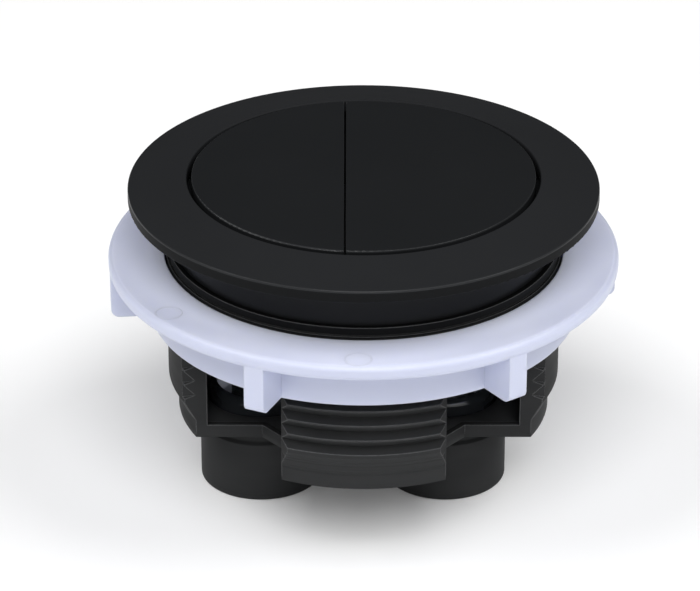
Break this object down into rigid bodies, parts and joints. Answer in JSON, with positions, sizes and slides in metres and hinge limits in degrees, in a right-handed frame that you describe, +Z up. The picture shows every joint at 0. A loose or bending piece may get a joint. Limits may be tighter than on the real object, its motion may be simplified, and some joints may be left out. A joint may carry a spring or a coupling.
{
  "type": "dual flush cistern push button",
  "caption": "Round dual flush push button for a cistern lid: split button caps in a flanged bezel over a threaded body with sprung plungers, clamped by a lugged lock nut.",
  "frame": {"origin": "on the button's axis, level with the undersides of the two cups it stands on", "axes": "+Z up through the button caps, -Y to the front, -X to the half flush side"},
  "size_m": [0.0742, 0.0742, 0.0493],
  "materials": {
    "satin_black": "satin coat",
    "moulded_black": "as moulded",
    "white_plastic": "as moulded",
    "gloss_black": "gloss",
    "spring_steel": "drawn wire"
  },
  "bodies": {
    "housing": {"bezel": "satin_black", "body": "moulded_black", "half_flush_spring": "spring_steel", "full_flush_spring": "spring_steel"},
    "half_flush": {"half_flush_cap": "satin_black", "half_flush_plunger": "gloss_black"},
    "full_flush": {"full_flush_cap": "satin_black", "full_flush_plunger": "gloss_black"},
    "lock_nut": {"lock_nut": "white_plastic"}
  },
  "joints": [
    {"name": "half_flush_press", "type": "slide", "parent": "housing", "child": "half_flush", "axis": [0, 0, -1], "range_m": [0, 0.006], "stiffness_N_per_m": 400, "springref_m": -0.004, "deforming": ["half_flush_spring"]},
    {"name": "full_flush_press", "type": "slide", "parent": "housing", "child": "full_flush", "axis": [0, 0, -1], "range_m": [0, 0.006], "stiffness_N_per_m": 400, "springref_m": -0.004, "deforming": ["full_flush_spring"]},
    {"name": "nut_turn", "type": "hinge", "parent": "housing", "child": "lock_nut", "pos_m": [0, 0, 0.033], "axis": [0, 0, 1], "continuous": true}
  ]
}
